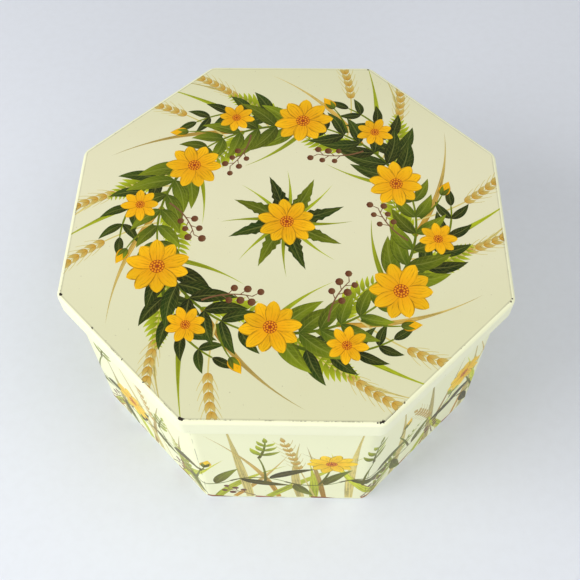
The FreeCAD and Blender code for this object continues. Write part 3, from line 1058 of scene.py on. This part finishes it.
def wall_sheet(name, sizes, colours):
    """The wall's own sheet: lacquered on the face that is outside, curled or hemmed, and bare inside."""
    finish = Finish(name)
    place = finish.place()
    _, _, z = finish.split(place)
    facing = finish.node("ShaderNodeNewGeometry", output="True Normal")
    level = finish.stretch(place, (1.0, 1.0, 0.0))
    outward = finish.vector("DOT_PRODUCT", facing, level, output="Value")
    rim = WALL_HIGH.z - sizes.wall_curl
    hem = sizes.wall_bend + sizes.sheet_gauge
    soft = 0.1 * MM
    lacquered = finish.larger(finish.step(outward, -0.001, 0.001), finish.step(z, rim - soft, rim),
                              1 - finish.step(z, hem, hem + soft))
    outer = lacquer_coat(finish, place, colours.wall_ivory)
    inner = tin_coat(finish, place, colours.tin)
    colour = finish.mix(lacquered, inner.colour, outer.colour)
    roughness = inner.roughness + (outer.roughness - inner.roughness) * lacquered
    normal = finish.bump(inner.height, 0.05, 0.6 * MM)
    return finish.use(Base_Color=colour, Roughness=roughness, Metallic=inner.metal * (1 - lacquered),
                      Normal=normal)


def say_ready(operator, piece, body):
    """Put a finished piece on its body and report that it is made."""
    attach(piece, body)
    operator.report({"INFO"}, f"made {piece.name}")
    return {"FINISHED"}


class TIN_OT_make_lid(bpy.types.Operator):
    """Make the lid with its printed panel"""

    bl_idname = "tin.make_lid"
    bl_label = "Lid"

    def execute(self, context):
        sizes = context.scene.tin_sizes
        colours = context.scene.tin_colours
        materials = [
            lid_lacquer("printed_panel", sizes, colours, printed=True, gloss=0.3),
            lid_lacquer("lid_edge_lacquer", sizes, colours, printed=False, gloss=0.3),
            tinplate("lid_tinplate", colours),
        ]
        piece = lid_mesh(sizes, draw_lid_print(colours)).build("printed_lid", materials)
        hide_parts("lid")
        return say_ready(self, piece, "lid")


class TIN_OT_make_wall(bpy.types.Operator):
    """Finish the wall's sheet and lay the printed film on it"""

    bl_idname = "tin.make_wall"
    bl_label = "Wall"

    def execute(self, context):
        sizes = context.scene.tin_sizes
        colours = context.scene.tin_colours
        plan = RoundedOctagon(sizes.wall_half, sizes.wall_corner)
        film = film_lacquer("wall_print", colours)
        piece = film_mesh(sizes, draw_wall_print(colours, plan)).build("wall_print_film", [film])
        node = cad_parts["body_wall"]
        node.data.materials.clear()
        node.data.materials.append(wall_sheet("wall_lacquer", sizes, colours))
        return say_ready(self, piece, "box")


class TIN_OT_make_base(bpy.types.Operator):
    """Finish the base panel as bare tinplate"""

    bl_idname = "tin.make_base"
    bl_label = "Base"

    def execute(self, context):
        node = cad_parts["base_panel"]
        node.data.materials.clear()
        node.data.materials.append(tinplate("base_tinplate", context.scene.tin_colours))
        return {"FINISHED"}


def floor_material(colour):
    """Smooth pale paper."""
    finish = Finish("floor_paper")
    place = finish.place()
    fibre = finish.noise(place, 240.0, 4.0, 0.6)
    grey = (0.5, 0.5, 0.52)
    shade = finish.mix(finish.step(fibre, 0.35, 0.7) * 0.25, colour, blended(colour, grey, 0.2))
    normal = finish.bump(fibre, 0.05, 0.4 * MM)
    return finish.use(Base_Color=shade, Roughness=0.75 + fibre * 0.1, Normal=normal)


# The lights, in metres: name, place, width and colour. Each one's power is the stage's, under its name.
LIGHTS = (
    ("window", (-0.72, -0.27, 0.52), 0.6, (1.0, 0.98, 0.95)),
    ("fill", (0.5, -0.18, 0.85), 0.6, (1.0, 0.96, 0.92)),
    ("card", (0.22, -0.9, 0.42), 0.5, (1.0, 0.98, 0.94)),
)
LIGHT_TARGET = Vector((0.0, 0.0, 0.05))
SKY_COLOUR = (1.0, 0.99, 0.95, 1.0)
# Width of the camera's frame, in millimetres as the lens is
SENSOR_WIDTH = 36.0


class TIN_OT_make_stage(bpy.types.Operator):
    """Set up the floor, the camera and the lights"""

    bl_idname = "tin.make_stage"
    bl_label = "Stage"

    def execute(self, context):
        stage = context.scene.tin_stage
        self.add_floor(stage)
        self.add_camera(context.scene, stage)
        self.add_lights(context.scene, stage)
        return {"FINISHED"}

    def add_floor(self, stage):
        half = stage.floor_size / 2
        mesh = bpy.data.meshes.new("floor")
        corners = [(-half, -half, 0), (half, -half, 0), (half, half, 0), (-half, half, 0)]
        mesh.from_pydata(corners, [], [(0, 1, 2, 3)])
        mesh.materials.append(floor_material(stage.floor_colour))
        floor = bpy.data.objects.new("floor", mesh)
        bpy.context.scene.collection.objects.link(floor)

    def add_camera(self, scene, stage):
        tilt, yaw, roll = stage.camera_tilt, stage.camera_yaw, stage.camera_roll
        sight = Vector((math.sin(yaw) * math.cos(tilt), math.cos(yaw) * math.cos(tilt), -math.sin(tilt)))
        level = Vector((math.cos(yaw), -math.sin(yaw), 0.0))
        upright = level.cross(sight)
        right = level * math.cos(roll) + upright * math.sin(roll)
        up = upright * math.cos(roll) - level * math.sin(roll)
        lens = bpy.data.cameras.new("camera")
        lens.lens = stage.lens
        lens.sensor_width = SENSOR_WIDTH
        lens.clip_start = 0.01
        camera = bpy.data.objects.new("camera", lens)
        axes = Matrix((right, up, -sight)).transposed().to_4x4()
        camera.matrix_world = Matrix.Translation(stage.camera_place) @ axes
        scene.collection.objects.link(camera)
        scene.camera = camera

    def add_lights(self, scene, stage):
        for name, place, width, colour in LIGHTS:
            light = bpy.data.lights.new(name, "AREA")
            light.energy = getattr(stage, f"{name}_power")
            light.size = width
            light.color = colour
            lamp = bpy.data.objects.new(name, light)
            lamp.location = place
            lamp.rotation_euler = (LIGHT_TARGET - Vector(place)).to_track_quat("-Z", "Y").to_euler()
            scene.collection.objects.link(lamp)
        world = bpy.data.worlds.new("sky")
        world.use_nodes = True
        sky = world.node_tree.nodes["Background"]
        sky.inputs["Color"].default_value = SKY_COLOUR
        sky.inputs["Strength"].default_value = stage.sky_strength
        scene.world = world
        scene.view_settings.view_transform = "Standard"


class TIN_PT_panel(bpy.types.Panel):
    """Lists the pieces of the tin"""

    bl_idname = "TIN_PT_panel"
    bl_label = "Octagonal tin"
    bl_space_type = "VIEW_3D"
    bl_region_type = "UI"
    bl_category = "Tin"

    def draw(self, context):
        for operator in OPERATORS:
            self.layout.operator(operator.bl_idname)
        for group in ("tin_sizes", "tin_colours", "tin_stage"):
            settings = getattr(context.scene, group)
            box = self.layout.box()
            for name in settings.__annotations__:
                box.prop(settings, name)


OPERATORS = (TIN_OT_make_lid, TIN_OT_make_wall, TIN_OT_make_base, TIN_OT_make_stage)
CLASSES = (TinSizes, TinColours, TinStage, *OPERATORS, TIN_PT_panel)


def register():
    for item in CLASSES:
        bpy.utils.register_class(item)
    bpy.types.Scene.tin_sizes = PointerProperty(type=TinSizes)
    bpy.types.Scene.tin_colours = PointerProperty(type=TinColours)
    bpy.types.Scene.tin_stage = PointerProperty(type=TinStage)


def unregister():
    del bpy.types.Scene.tin_stage
    del bpy.types.Scene.tin_colours
    del bpy.types.Scene.tin_sizes
    for item in reversed(CLASSES):
        bpy.utils.unregister_class(item)


def main():
    register()
    bpy.ops.tin.make_lid()
    bpy.ops.tin.make_wall()
    bpy.ops.tin.make_base()
    bpy.ops.tin.make_stage()


if __name__ == "__main__":
    main()
